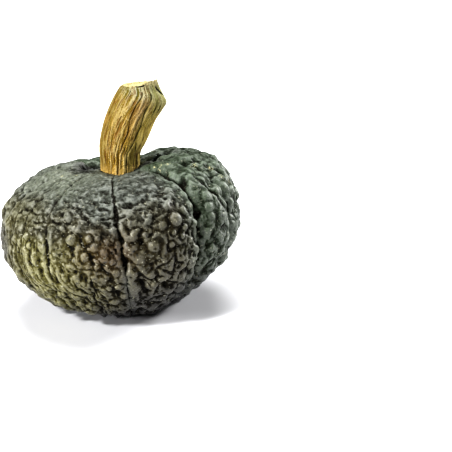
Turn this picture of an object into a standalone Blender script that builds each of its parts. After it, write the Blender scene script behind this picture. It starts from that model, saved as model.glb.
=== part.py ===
"""A whole warted winter squash with its dried stem, as two solids.

Lengths are in metres and +Z is up. The squash stands on the flattened undersides of
its lobes at z = 0, and the origin lies under the middle of its bounding box.
Azimuths are in degrees from the front (-Y) round towards the right (+X).
"""

import math

import bmesh
import bpy
import numpy as np
from mathutils import Vector

MM = 0.001

# The fruit without its lobes: a squat round body, flatter above than below.
BELLY_RADIUS = 108.5 * MM
RISE_ABOVE_BELLY = 60.5 * MM
DROP_BELOW_BELLY = 86 * MM
SQUARENESS_ABOVE = 2.8
SQUARENESS_BELOW = 1.8
BELLY_BLEND = 0.35

# The hollow round the stem, with sags in front of it and behind it, and the blossom's
# hollow and scar. The first three are given by their middles, depths and widths.
STEM_HOLLOW = (5 * MM, -1 * MM, 11 * MM, 28 * MM)
FRONT_SAG = (3 * MM, -24 * MM, 5.5 * MM, 22 * MM)
BACK_SAG = (16 * MM, 42 * MM, 8 * MM, 30 * MM)
BLOSSOM_HOLLOW_DEPTH = 13 * MM
BLOSSOM_HOLLOW_WIDTH = 24 * MM
SCAR_HEIGHT = 2.5 * MM
SCAR_RADIUS = 6 * MM

# The fruit grew leaning: its stem end tips towards -X, and its right side rides higher.
# The foot, up to the first of the two heights, stays level.
LEAN = math.radians(5)
RIDE_UP = 0.037
LEVEL_FOOT = (4 * MM, 34 * MM)

# The middle of the belly, set so that the lowest lobes are cut flat at z = 0.
BODY_CENTRE = np.array([0.6 * MM, 1.2 * MM, 77.9 * MM])

# Each crease: azimuth at the belly, drift of its upper end in degrees, depth of the wide
# valley, depth of the narrow crease, and how far the lobe after it swells or shrinks.
CREASES = (
    (-155, 0, 6.0, 2.5, -1.5),
    (-128, 4, 5.0, 3.0, 1.5),
    (-102, 4, 5.0, 2.0, 1.2),
    (-74, 2, 4.5, 3.0, 0.4),
    (-52, 0, 2.5, 1.5, 0.0),
    (-36, -2, 2.5, 2.0, 0.0),
    (0, -4, 2.0, 3.5, 0.0),
    (40, 2, 6.5, 3.5, 0.5),
    (64, 4, 4.5, 2.5, 1.8),
    (90, 2, 5.0, 3.0, 2.4),
    (117, 0, 5.0, 3.5, 2.0),
    (147, 0, 13.0, 3.0, -5.0),
    (178, 0, 7.0, 2.5, -3.0),
)
DRIFT_POWER = 1.5
VALLEY_SHARPNESS = 2.6
CREASE_WIDTH = 3.5 * MM
CREASE_FADE_ABOVE = (12 * MM, 24 * MM)
CREASE_FADE_BELOW = (16 * MM, 50 * MM)
CREASE_BANK = 5 * MM
VALLEY_FADE = (12 * MM, 45 * MM)
VALLEY_FADE_POWER = 0.7

# Warts that stand out by themselves: azimuth and height angle in degrees, radius and
# height in mm. The rest are a seeded scatter, lower on the smoother top.
LARGE_WARTS = (
    (-44, 10, 4.8, 2.6),
    (-29, 8, 4.8, 2.2),
    (-21, 11, 5.5, 3.0),
    (-16, 4, 3.8, 2.2),
    (-12, 11, 3.2, 1.8),
    (-5, -1, 3.8, 2.0),
    (2, -26, 4.5, 2.2),
    (7, 0, 6.2, 2.6),
    (13, -16, 4.0, 2.2),
    (17, 11, 4.4, 2.4),
    (24, 12, 6.2, 3.2),
    (35, 15, 4.8, 2.6),
    (45, 14, 4.5, 2.4),
)
WART_COUNT = 620
WART_SEED = 5
WART_RADIUS = (4.8 * MM, 7.6 * MM)
WART_STEEPNESS = (0.40, 0.56)
WART_STRAY = (1.0, 0.04)
WART_FREE_RADIUS = 26 * MM
WART_ROOM = 3 * MM
WART_DOME = 1.15
SMOOTHER_TOP = 0.45
SMOOTHER_FROM = (0.15, 0.6)

# Where the skin's corners go: on each wart's top, round its flank, along the creases and
# their banks, and then evenly over what is left. Rooms are the least distances kept.
FLANK_CORNERS = 5
FLANK_AT = 0.62
LOW_WART = 1.3 * MM
CREASE_STEPS = 46
CREASE_END = 76
BANK_LINE = 4.2 * MM
FINE_ROOM = 2.6 * MM
FILL_ROOM = 5.6 * MM
FILL_COUNT = 9000

# The ground that the lowest lobes are cut flat on, and the gap between touching solids.
GROUND_SIZE = (300 * MM, 300 * MM, 40 * MM)
GAP = 0.3 * MM

# The stem's outline, in mm from the middle of the belly: left edge, right edge and half
# depth of each level, from the end of the root up to the rim of the cut.
STEM_LEVELS = (
    ((-16.4, 39.5), (17.0, 41.0), 16.6),
    ((-16.4, 44.0), (17.0, 45.5), 16.6),
    ((-16.7, 50.0), (17.4, 51.5), 16.8),
    ((-17.8, 66.0), (19.6, 66.0), 18.0),
    ((-17.3, 77.0), (23.6, 73.6), 19.4),
    ((-14.8, 89.0), (27.6, 82.0), 20.6),
    ((-10.7, 101.0), (31.6, 91.0), 21.2),
    ((-6.0, 112.0), (35.8, 98.6), 21.4),
    ((-2.4, 119.0), (40.4, 105.2), 21.2),
    ((1.0, 124.0), (43.0, 111.0), 20.4),
    ((2.8, 126.0), (42.4, 116.6), 18.6),
    ((4.4, 127.0), (39.4, 122.0), 16.2),
    ((6.0, 127.8), (35.8, 129.4), 14.4),
)
ROOT_LEVELS = 2
STEPS_PER_LEVEL = 2

# The cut across the stem: a sunk face inside a rim, and a tip of torn rind at its right.
CUT_SINK = (1.1 * MM, 1.6 * MM)
CUT_RIM = 0.82
TIP_HEIGHT = 3.8 * MM
TIP_ANGLE = math.radians(4)
TIP_SPREAD = math.radians(38)

# The stem's grooves: angle round the stem in degrees from its right edge, by way of the
# front, and depth in mm. The ribs are the rounded stretches between them.
STEM_GROOVES = (
    (8, 1.6),
    (36, 2.6),
    (62, 2.2),
    (83, 1.2),
    (104, 2.4),
    (128, 1.6),
    (152, 2.2),
    (183, 1.8),
    (214, 2.4),
    (243, 1.6),
    (272, 2.6),
    (303, 1.8),
    (334, 2.4),
)
RIB_ROUNDNESS = 2.2
RIBS_START = (1, 2.3)
RIB_TWIST = math.radians(18)
COLUMNS_PER_RIB = 6

# The socket that the root stands in, cut from below the root to clear of the fruit. Its
# clearance is in gaps, a little over one because the sides of both are flat facets.
SOCKET_SIDES = 64
SOCKET_CUT_HEIGHT = 20 * MM
SOCKET_CLEARANCE = 1.5


def smooth_step(low, high, value):
    """Rise from 0 to 1 as value goes from low to high, level at both ends."""
    share = np.clip((value - low) / (high - low), 0, 1)
    return share * share * (3 - 2 * share)


def unit_vectors(azimuth, height_angle):
    """Unit vectors, one per row, for azimuths and height angles in degrees."""
    azimuth = np.radians(azimuth)
    height_angle = np.radians(height_angle)
    across = np.cos(height_angle)
    rows = (across * np.sin(azimuth), -across * np.cos(azimuth), np.sin(height_angle))
    return np.stack(rows, axis=1)


def lobe_places(azimuth, up):
    """For each point, the creases on its two sides and how far away they are in degrees."""
    creases = np.array(CREASES)
    lines = creases[:, 0] + creases[:, 1] * np.clip(up, 0, 1)[:, None] ** DRIFT_POWER
    ahead = (azimuth[:, None] - lines) % 360
    before = ahead.argmin(axis=1)
    after = ahead.argmax(axis=1)
    rows = np.arange(len(azimuth))
    return before, after, ahead[rows, before], 360 - ahead[rows, after]


def crease_distance(azimuth, up, radius):
    """Distance, in metres, from each point to the nearest crease, and which crease it is."""
    before, after, from_before, to_after = lobe_places(azimuth, up)
    nearest = np.where(from_before < to_after, before, after)
    return np.radians(np.minimum(from_before, to_after)) * radius, nearest


def lobe_cut(azimuth, up, radius):
    """Depth, in metres, by which the lobes' valleys and creases lie under the plain body."""
    valley = np.array(CREASES)[:, 2] * MM
    crease = np.array(CREASES)[:, 3] * MM
    swell = np.array(CREASES)[:, 4] * MM
    before, after, from_before, to_after = lobe_places(azimuth, up)
    share = from_before / (from_before + to_after)
    side = np.abs(2 * share - 1) ** VALLEY_SHARPNESS
    deep = (valley[before] * (1 - share) + valley[after] * share) * side
    deep *= smooth_step(*VALLEY_FADE, radius) ** VALLEY_FADE_POWER
    swollen = swell[before] * (1 - side) * smooth_step(*VALLEY_FADE, radius)
    away, nearest = crease_distance(azimuth, up, radius)
    narrow = crease[nearest] * np.exp(-((away / CREASE_WIDTH) ** 2))
    above = smooth_step(*CREASE_FADE_ABOVE, radius)
    below = smooth_step(*CREASE_FADE_BELOW, radius)
    return deep + narrow * np.where(up > 0, above, below) - swollen


def body_points(directions):
    """Places on the lobed body, before warts, for unit vectors from the belly's middle."""
    up = directions[:, 2]
    across = np.hypot(directions[:, 0], directions[:, 1])
    azimuth = np.degrees(np.arctan2(directions[:, 0], -directions[:, 1]))
    above = smooth_step(-BELLY_BLEND, BELLY_BLEND, up)
    power = SQUARENESS_BELOW + (SQUARENESS_ABOVE - SQUARENESS_BELOW) * above
    half_height = DROP_BELOW_BELLY + (RISE_ABOVE_BELLY - DROP_BELOW_BELLY) * above
    reach = ((across / BELLY_RADIUS) ** power + (np.abs(up) / half_height) ** power) ** (-1 / power)
    points = directions * reach[:, None]
    outward = points / np.array([BELLY_RADIUS, BELLY_RADIUS, RISE_ABOVE_BELLY]) ** 2
    outward /= np.linalg.norm(outward, axis=1)[:, None]
    radius = np.hypot(points[:, 0], points[:, 1])
    points = points - outward * lobe_cut(azimuth, up, radius)[:, None]
    radius = np.hypot(points[:, 0], points[:, 1])
    sunk = 0
    for x, y, depth, width in (STEM_HOLLOW, FRONT_SAG, BACK_SAG):
        away = np.hypot(points[:, 0] - x, points[:, 1] - y)
        sunk = sunk + depth * np.exp(-((away / width) ** 2))
    blossom_hollow = BLOSSOM_HOLLOW_DEPTH * np.exp(-((radius / BLOSSOM_HOLLOW_WIDTH) ** 2))
    scar = SCAR_HEIGHT * np.exp(-((radius / SCAR_RADIUS) ** 4))
    points[:, 2] += np.where(up > 0, -sunk, blossom_hollow - scar)
    return lean(points) + BODY_CENTRE


def lean(points):
    """Tip the body to the left. The foot stays level, so that it stands."""
    x, y, z = points.T
    hold = smooth_step(*LEVEL_FOOT, z + DROP_BELOW_BELLY)
    tipped_x = x * math.cos(LEAN) - z * math.sin(LEAN)
    tipped_z = z * math.cos(LEAN) + x * (math.sin(LEAN) + RIDE_UP) * hold
    return np.stack((tipped_x, y, tipped_z), axis=1)


def golden_spiral(count, rng=None):
    """Unit vectors spread evenly over a sphere, strayed a little if rng is given."""
    steps = np.arange(count) + 0.5
    turns = np.arange(count) * math.pi * (3 - math.sqrt(5))
    if rng:
        steps += WART_STRAY[0] * rng.uniform(-1, 1, count)
        turns += WART_STRAY[1] * rng.uniform(-1, 1, count)
    up = np.clip(1 - 2 * steps / count, -1, 1)
    return unit_vectors(np.degrees(turns), np.degrees(np.arcsin(up)))


def make_warts():
    """Direction, centre, radius and height of each wart: the large ones, then a scatter."""
    large = np.array(LARGE_WARTS)
    directions = unit_vectors(large[:, 0], large[:, 1])
    warts = list(zip(directions, body_points(directions), large[:, 2] * MM, large[:, 3] * MM))
    rng = np.random.default_rng(WART_SEED)
    directions = golden_spiral(WART_COUNT, rng)
    radii = rng.uniform(*WART_RADIUS, WART_COUNT)
    steepness = rng.uniform(*WART_STEEPNESS, WART_COUNT)
    centres = body_points(directions)
    for direction, centre, radius, steep in zip(directions, centres, radii, steepness):
        from_axis = math.hypot(*(centre - BODY_CENTRE)[:2])
        to_large = min(np.linalg.norm(centre - wart[1]) for wart in warts[: len(large)])
        if from_axis < WART_FREE_RADIUS or to_large < radius + WART_ROOM:
            continue
        calm = 1 - SMOOTHER_TOP * smooth_step(*SMOOTHER_FROM, direction[2])
        warts.append((direction, centre, radius * calm ** 0.5, radius * steep * calm))
    return warts


def wart_heights(directions, points, warts):
    """How far each point is raised by the highest wart on it, and not at all in a crease."""
    azimuth = np.degrees(np.arctan2(directions[:, 0], -directions[:, 1]))
    from_axis = np.hypot(*(points - BODY_CENTRE)[:, :2].T)
    from_crease = crease_distance(azimuth, directions[:, 2], from_axis)[0]
    raised = np.zeros(len(points))
    for _, centre, radius, height in warts:
        share = ((points - centre) ** 2).sum(axis=1) / radius ** 2
        raised = np.maximum(raised, height * np.clip(1 - share, 0, 1) ** WART_DOME)
    return raised * smooth_step(0, CREASE_BANK, from_crease)


def flank_directions(direction, radius):
    """Unit vectors round the flank of a wart."""
    side = np.cross(direction, (0.0, 0.0, 1.0))
    side /= np.linalg.norm(side)
    other = np.cross(direction, side)
    reach = FLANK_AT * radius / BELLY_RADIUS
    ring = []
    for corner in range(FLANK_CORNERS):
        angle = math.tau * corner / FLANK_CORNERS
        point = direction + reach * (side * math.cos(angle) + other * math.sin(angle))
        ring.append(point / np.linalg.norm(point))
    return ring


def crease_directions(offset):
    """Unit vectors along every crease, or along a line beside it at an offset in metres."""
    rise = np.linspace(-CREASE_END, CREASE_END, CREASE_STEPS)
    up = np.sin(np.radians(rise))
    lines = []
    for azimuth, drift, *_ in CREASES:
        aside = np.degrees(offset / (BELLY_RADIUS * np.cos(np.radians(rise))))
        lines.extend(unit_vectors(azimuth + drift * np.clip(up, 0, 1) ** DRIFT_POWER + aside, rise))
    return lines


def spread_out(groups):
    """Unit vectors from the groups in turn, each kept only if it has its group's room."""
    kept = np.zeros((sum(len(group) for group, _ in groups), 3))
    count = 0
    for group, room in groups:
        limit = math.cos(room / BELLY_RADIUS)
        for candidate in group:
            if count == 0 or (kept[:count] @ candidate).max() < limit:
                kept[count] = candidate
                count += 1
    return kept[:count]


def skin_directions(warts):
    """Unit vectors for the corners of the fruit's skin."""
    tops = [direction for direction, *_ in warts]
    flanks = []
    for direction, _, radius, height in warts:
        if height > LOW_WART:
            flanks.extend(flank_directions(direction, radius))
    banks = crease_directions(BANK_LINE) + crease_directions(-BANK_LINE)
    return spread_out((
        (tops, FINE_ROOM),
        (crease_directions(0), FINE_ROOM),
        (flanks, FINE_ROOM),
        (banks, FINE_ROOM),
        (golden_spiral(FILL_COUNT), FILL_ROOM),
    ))


def material(name, colour, roughness):
    """A plain Principled material."""
    made = bpy.data.materials.new(name)
    made.use_nodes = True
    shader = made.node_tree.nodes["Principled BSDF"]
    shader.inputs["Base Color"].default_value = (*colour, 1)
    shader.inputs["Roughness"].default_value = roughness
    shader.inputs["Metallic"].default_value = 0
    return made


def rind_material():
    return material("rind", (0.095, 0.105, 0.070), 0.6)


def dry_stem_material():
    return material("dry_stem", (0.42, 0.30, 0.11), 0.85)


def add_object(name, bm, surface=None):
    """Turn a bmesh into a smooth-shaded object in the scene."""
    mesh = bpy.data.meshes.new(name)
    bm.to_mesh(mesh)
    bm.free()
    mesh.shade_smooth()
    made = bpy.data.objects.new(name, mesh)
    bpy.context.scene.collection.objects.link(made)
    if surface:
        mesh.materials.append(surface)
    return made


def add_cutter(name, bm, target):
    """Turn a bmesh into a hidden cutter, and take it out of the target."""
    cutter = add_object(name, bm)
    cutter.hide_render = True
    cutter.display_type = "WIRE"
    cut = target.modifiers.new(name, "BOOLEAN")
    cut.operation = "DIFFERENCE"
    cut.solver = "EXACT"
    cut.object = cutter


def add_fruit():
    """The lobed, warted fruit. Its corners are joined up on a sphere and then moved out."""
    warts = make_warts()
    directions = skin_directions(warts)
    bm = bmesh.new()
    corners = [bm.verts.new(direction) for direction in directions]
    bmesh.ops.convex_hull(bm, input=bm.verts)
    points = body_points(directions)
    for corner, point in zip(corners, points):
        corner.co = Vector(point)
    bm.normal_update()
    for corner, raised in zip(corners, wart_heights(directions, points, warts)):
        corner.co += corner.normal * raised
    fruit = add_object("fruit", bm, rind_material())
    add_cutter("stem_socket", socket_mesh(), fruit)
    add_cutter("ground", ground_mesh(), fruit)
    return fruit


def ground_mesh():
    """A block whose top face is the ground, which flattens the lowest lobes."""
    bm = bmesh.new()
    bmesh.ops.create_cube(bm, size=1)
    bmesh.ops.scale(bm, vec=GROUND_SIZE, verts=bm.verts)
    bmesh.ops.translate(bm, vec=(0, 0, -GROUND_SIZE[2] / 2), verts=bm.verts)
    return bm


def stem_level(height):
    """Middle, half width and half depth of the stem at a level, counted from the root.

    Between the listed levels they follow a smooth curve through them.
    """
    rows = np.array([(*left, *right, depth) for left, right, depth in STEM_LEVELS]) * MM
    last = len(rows) - 1
    first = min(int(height), last - 1)
    share = height - first
    before = rows[max(first - 1, 0)]
    start = rows[first]
    end = rows[first + 1]
    after = rows[min(first + 2, last)]
    bend = 2 * before - 5 * start + 4 * end - after
    twist = 3 * (start - end) + after - before
    row = start + 0.5 * share * (end - before + share * (bend + share * twist))
    left = np.array([row[0], 0, row[1]])
    right = np.array([row[2], 0, row[3]])
    return (left + right) / 2, (right - left) / 2, row[4]


def stem_columns():
    """Angles of the stem's columns in radians, and each one's depth under the crests."""
    angles = []
    depths = []
    first_angle, first_depth = STEM_GROOVES[0]
    following = STEM_GROOVES[1:] + ((first_angle + 360, first_depth),)
    for (start, start_depth), (end, end_depth) in zip(STEM_GROOVES, following):
        for step in range(COLUMNS_PER_RIB):
            share = step / COLUMNS_PER_RIB
            angles.append(math.radians(start + (end - start) * share))
            groove = start_depth * (1 - share) + end_depth * share
            depths.append(groove * MM * abs(2 * share - 1) ** RIB_ROUNDNESS)
    return angles, depths


def stem_ring(bm, height, angles, depths):
    """One ring of the stem's points. Its ribs start above the root, and twist near it."""
    middle, half_width, half_depth = stem_level(height)
    turn = RIB_TWIST * (1 - height / (len(STEM_LEVELS) - 1)) ** 2
    ribbed = smooth_step(*RIBS_START, height)
    ring = []
    for angle, depth in zip(angles, depths):
        shrink = 1 - ribbed * depth / half_depth
        point = middle + half_width * (math.cos(angle + turn) * shrink)
        point[1] -= half_depth * math.sin(angle + turn) * shrink
        ring.append(bm.verts.new(point + BODY_CENTRE))
    return ring


def close_ring(bm, ring, centre):
    """Close a ring with a fan of triangles about its centre."""
    tip = bm.verts.new(centre)
    for here, there in zip(ring, ring[1:] + ring[:1]):
        bm.faces.new((here, there, tip))


def bridge(bm, lower, upper):
    """Join two rings of points with a band of faces."""
    for column in range(len(lower)):
        following = (column + 1) % len(lower)
        bm.faces.new((lower[column], upper[column], upper[following], lower[following]))


def add_stem():
    """The ribbed stem, from its plain root to an oblique cut with a sunk face."""
    bm = bmesh.new()
    angles, depths = stem_columns()
    top_level = len(STEM_LEVELS) - 1
    heights = np.linspace(0, top_level, top_level * STEPS_PER_LEVEL + 1)
    rings = [stem_ring(bm, height, angles, depths) for height in heights]
    for vert, angle in zip(rings[-1], angles):
        from_tip = (angle - TIP_ANGLE + math.pi) % math.tau - math.pi
        vert.co.z += TIP_HEIGHT * math.exp(-((from_tip / TIP_SPREAD) ** 2))
    top = Vector(stem_level(top_level)[0] + BODY_CENTRE)
    edge = Vector((0, 0, -CUT_SINK[0]))
    rings.append([bm.verts.new(top + (vert.co - top) * CUT_RIM + edge) for vert in rings[-1]])
    for lower, upper in zip(rings, rings[1:]):
        bridge(bm, lower, upper)
    close_ring(bm, rings[-1], top + Vector((0, 0, -CUT_SINK[1])))
    close_ring(bm, rings[0], Vector(stem_level(0)[0] + BODY_CENTRE))
    bmesh.ops.recalc_face_normals(bm, faces=bm.faces)
    bmesh.ops.triangulate(bm, faces=bm.faces)
    return add_object("stem", bm, dry_stem_material())


def socket_mesh():
    """The hole that the stem's root stands in, with the gap all round it."""
    bm = bmesh.new()
    rings = []
    for height, lift in ((0, -GAP), (1, 0), (ROOT_LEVELS, 0), (ROOT_LEVELS, SOCKET_CUT_HEIGHT)):
        middle, half_width, half_depth = stem_level(height)
        wide = 1 + SOCKET_CLEARANCE * GAP / half_depth
        ring = []
        for step in range(SOCKET_SIDES):
            angle = math.tau * step / SOCKET_SIDES
            point = middle + half_width * (wide * math.cos(angle))
            point += (0, -half_depth * wide * math.sin(angle), lift)
            ring.append(bm.verts.new(point + BODY_CENTRE))
        rings.append(ring)
    for lower, upper in zip(rings, rings[1:]):
        bridge(bm, lower, upper)
    bm.faces.new(rings[0])
    bm.faces.new(rings[-1])
    bmesh.ops.recalc_face_normals(bm, faces=bm.faces)
    return bm


for old in list(bpy.data.objects):
    bpy.data.objects.remove(old)
add_fruit()
add_stem()
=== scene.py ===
import math

import bmesh
import bpy
import numpy as np
from mathutils import Matrix, Vector, kdtree, noise


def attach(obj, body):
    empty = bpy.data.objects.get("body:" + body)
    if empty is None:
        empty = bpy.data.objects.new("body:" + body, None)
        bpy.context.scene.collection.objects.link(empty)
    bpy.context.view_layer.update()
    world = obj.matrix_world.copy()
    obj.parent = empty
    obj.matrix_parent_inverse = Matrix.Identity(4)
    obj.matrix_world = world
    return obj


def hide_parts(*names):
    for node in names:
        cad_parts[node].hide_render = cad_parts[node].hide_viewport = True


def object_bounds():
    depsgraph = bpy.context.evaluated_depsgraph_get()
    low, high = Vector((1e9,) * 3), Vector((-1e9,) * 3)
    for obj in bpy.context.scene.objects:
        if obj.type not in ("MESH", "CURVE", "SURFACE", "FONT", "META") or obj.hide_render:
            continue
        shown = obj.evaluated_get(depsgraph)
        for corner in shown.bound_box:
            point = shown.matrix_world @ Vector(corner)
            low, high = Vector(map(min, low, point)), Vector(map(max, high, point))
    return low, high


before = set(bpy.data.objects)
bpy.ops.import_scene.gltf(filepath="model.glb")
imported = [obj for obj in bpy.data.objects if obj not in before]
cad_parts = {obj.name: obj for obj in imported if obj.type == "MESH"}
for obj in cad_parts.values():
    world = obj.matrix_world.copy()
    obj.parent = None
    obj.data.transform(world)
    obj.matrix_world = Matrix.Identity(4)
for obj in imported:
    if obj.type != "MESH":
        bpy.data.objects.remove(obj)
cad_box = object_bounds()

# The fruit: one squat, lobed body of hard rind, grown leaning to the left. Broad valleys
# and narrow creases part its lobes, and it stands on the flattened undersides of the
# lowest ones. Corky warts crowd on its belly, and its top is smoother and wrinkled.
MM = 0.001
BELLY_RADIUS = 108.5 * MM
RISE_ABOVE_BELLY = 60.5 * MM
DROP_BELOW_BELLY = 86 * MM
SQUARENESS_ABOVE = 2.8
SQUARENESS_BELOW = 1.8
BELLY_BLEND = 0.35
BODY_CENTRE = np.array([0.6 * MM, 1.2 * MM, 77.9 * MM])

# The hollow round the stem, and the sags before and behind it: place, depth and width.
STEM_HOLLOW = (5 * MM, -1 * MM, 11 * MM, 28 * MM)
FRONT_SAG = (3 * MM, -24 * MM, 5.5 * MM, 22 * MM)
BACK_SAG = (16 * MM, 42 * MM, 8 * MM, 30 * MM)
# The hollow underneath, and the scar of the blossom in it: depth and width.
BLOSSOM_HOLLOW = (13 * MM, 24 * MM)
BLOSSOM_SCAR = (2.5 * MM, 6 * MM)
# The body leans to the left and rides up on its right, above a foot that stays level.
LEAN = math.radians(5)
RIDE_UP = 0.037
LEVEL_FOOT = (4 * MM, 34 * MM)

# Each crease: azimuth in degrees from the front towards the right, drift of its upper end,
# depth of the valley and of the crease in mm, how far the lobe after it swells in mm, and
# the share by which the crease narrows on top.
CREASES = np.array((
    (-155, 0, 6.0, 2.5, -1.5, 0.3),
    (-128, 4, 5.0, 3.0, 1.5, 0.3),
    (-102, 4, 5.0, 2.0, 1.2, 0.3),
    (-74, 2, 4.5, 3.0, 0.4, 0.5),
    (-52, 0, 1.0, 0.2, 0.0, 0.8),
    (-36, -2, 1.4, 0.3, 0.0, 0.8),
    (0, -4, 2.0, 3.0, 0.0, 0.6),
    (39.5, 3, 6.5, 6.0, 0.5, 0.0),
    (64, 4, 4.5, 4.0, 1.8, 0.0),
    (90, 2, 5.0, 3.0, 2.4, 0.3),
    (117, 0, 5.0, 3.5, 2.0, 0.3),
    (147, 0, 13.0, 3.0, -5.0, 0.0),
    (178, 0, 7.0, 2.5, -3.0, 0.3),
))
FAINT_CREASES = (4, 5)
FRONT_CREASE = 6
RIGHT_CREASE = 7
DRIFT_POWER = 1.5
CREASE_SWAY = 1.6 * MM
SWAY_LENGTH = 14 * MM
VALLEY_SHARPNESS = 2.6
VALLEY_FADE = (12 * MM, 45 * MM)
VALLEY_FADE_POWER = 0.7
CREASE_WIDTH = 2.4 * MM
SLIT_WIDTH = 1.2 * MM
SLIT_DEPTH = 0.45

# Where creases grow narrow and shallow towards the top, and shallow underneath, and the
# distances from the axis over which they come up out of nothing. A height called up is
# that of a unit vector from the belly's middle: 1 on top, -1 below.
CREASE_NARROWS = (0.15, 0.5)
TOP_SHALLOWNESS = 0.75
CREASE_SOFTENS = (-0.05, -0.3)
LOW_SHALLOWNESS = 0.8
CREASE_FADE_ABOVE = (17 * MM, 27 * MM)
CREASE_FADE_BELOW = (16 * MM, 50 * MM)


def smooth_step(low, high, value):
    """Rise from 0 to 1 as value goes from low to high, level at both ends."""
    share = np.clip((value - low) / (high - low), 0, 1)
    return share * share * (3 - 2 * share)


def bell(value, width):
    """1 at 0, falling to nearly 0 at twice the width."""
    return np.exp(-((value / width) ** 2))


def noise_over(points, size, octaves=1, lacunarity=2.0):
    """A smooth random number between about -1 and 1 for each point, with bumps of a size."""
    scaled = points / size
    return np.array([noise.fractal(Vector(point), 1.0, lacunarity, octaves) for point in scaled])


def unit_vectors(azimuth, height_angle):
    """Unit vectors, one per row, for azimuths and height angles in degrees."""
    azimuth = np.radians(azimuth)
    height_angle = np.radians(height_angle)
    across = np.cos(height_angle)
    rows = (across * np.sin(azimuth), -across * np.cos(azimuth), np.sin(height_angle))
    return np.stack(rows, axis=1)


def azimuth_of(directions):
    """Degrees from the front towards the right, from -180 to 180."""
    return np.degrees(np.arctan2(directions[:, 0], -directions[:, 1]))


def degrees_from(degrees, place):
    """How far angles in degrees are from a place, from -180 to 180."""
    return (degrees - place + 180) % 360 - 180


def lobe_places(azimuth, up):
    """For each point, the creases on its two sides and how far away they are in degrees."""
    lines = CREASES[:, 0] + CREASES[:, 1] * np.clip(up, 0, 1)[:, None] ** DRIFT_POWER
    ahead = (azimuth[:, None] - lines) % 360
    before = ahead.argmin(axis=1)
    after = ahead.argmax(axis=1)
    rows = np.arange(len(azimuth))
    return before, after, ahead[rows, before], 360 - ahead[rows, after]


def crease_distance(azimuth, up, radius):
    """Distance, in metres, from each point to the nearest crease, and which crease it is."""
    before, after, from_before, to_after = lobe_places(azimuth, up)
    nearest = np.where(from_before < to_after, before, after)
    return np.radians(np.minimum(from_before, to_after)) * radius, nearest


def crease_depth(nearest, up, radius):
    """Depth of the nearest crease, less where it nears the stem, the top and the blossom."""
    above = smooth_step(*CREASE_FADE_ABOVE, radius)
    below = smooth_step(*CREASE_FADE_BELOW, radius)
    on_top = 1 - TOP_SHALLOWNESS * smooth_step(*CREASE_NARROWS, up)
    underneath = 1 - LOW_SHALLOWNESS * smooth_step(*CREASE_SOFTENS, up)
    return CREASES[nearest, 3] * MM * np.where(up > 0, above, below) * on_top * underneath


def lobe_cut(azimuth, up, radius):
    """Depth, in metres, by which the lobes' valleys and creases lie under the plain body."""
    valley = CREASES[:, 2] * MM
    swell = CREASES[:, 4] * MM
    before, after, from_before, to_after = lobe_places(azimuth, up)
    share = from_before / (from_before + to_after)
    side = np.abs(2 * share - 1) ** VALLEY_SHARPNESS
    fade = smooth_step(*VALLEY_FADE, radius)
    broad = (valley[before] * (1 - share) + valley[after] * share) * side
    swollen = swell[before] * (1 - side) * fade
    away, nearest = crease_distance(azimuth, up, radius)
    width = 1 - CREASES[nearest, 5] * smooth_step(*CREASE_NARROWS, up)
    narrow = bell(away, CREASE_WIDTH * width) + SLIT_DEPTH * bell(away, SLIT_WIDTH * width)
    narrow *= crease_depth(nearest, up, radius)
    return broad * fade ** VALLEY_FADE_POWER + narrow - swollen


def body_points(directions, sway=0):
    """Places on the lobed body, before warts, for unit vectors from the belly's middle."""
    up = directions[:, 2]
    across = np.hypot(directions[:, 0], directions[:, 1])
    azimuth = azimuth_of(directions) + sway
    above = smooth_step(-BELLY_BLEND, BELLY_BLEND, up)
    power = SQUARENESS_BELOW + (SQUARENESS_ABOVE - SQUARENESS_BELOW) * above
    half_height = DROP_BELOW_BELLY + (RISE_ABOVE_BELLY - DROP_BELOW_BELLY) * above
    reach = (across / BELLY_RADIUS) ** power + (np.abs(up) / half_height) ** power
    points = directions * (reach ** (-1 / power))[:, None]
    outward = points / np.array([BELLY_RADIUS, BELLY_RADIUS, RISE_ABOVE_BELLY]) ** 2
    outward /= np.linalg.norm(outward, axis=1)[:, None]
    radius = np.hypot(points[:, 0], points[:, 1])
    points = points - outward * lobe_cut(azimuth, up, radius)[:, None]
    radius = np.hypot(points[:, 0], points[:, 1])
    sunk = 0
    for x, y, depth, width in (STEM_HOLLOW, FRONT_SAG, BACK_SAG):
        sunk = sunk + depth * bell(np.hypot(points[:, 0] - x, points[:, 1] - y), width)
    scar = BLOSSOM_SCAR[0] * np.exp(-((radius / BLOSSOM_SCAR[1]) ** 4))
    blossom = BLOSSOM_HOLLOW[0] * bell(radius, BLOSSOM_HOLLOW[1]) - scar
    points[:, 2] += np.where(up > 0, -sunk, blossom)
    x, y, z = points.T
    hold = smooth_step(*LEVEL_FOOT, z + DROP_BELOW_BELLY)
    tipped_x = x * math.cos(LEAN) - z * math.sin(LEAN)
    tipped_z = z * math.cos(LEAN) + x * (math.sin(LEAN) + RIDE_UP) * hold
    return np.stack((tipped_x, y, tipped_z), axis=1) + BODY_CENTRE


# Its skin is a fine grid over a cube, pushed out to a sphere and crowded to the belly.
SKIN_CELLS = 128
SKIN_CROWDING = 0.8


def add_object(name, data):
    """Put a new object in the scene."""
    made = bpy.data.objects.new(name, data)
    bpy.context.scene.collection.objects.link(made)
    return made


def add_built(name, built):
    """Turn a built mesh into an object of the scene, and return both."""
    mesh = bpy.data.meshes.new(name)
    built.to_mesh(mesh)
    built.free()
    return add_object(name, mesh), mesh


def corner_values(mesh, collection, name, width):
    """A property of all the mesh's corners as an array of rows."""
    values = np.empty(len(mesh.vertices) * width)
    getattr(mesh, collection).foreach_get(name, values)
    return values.reshape(-1, width)


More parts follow.
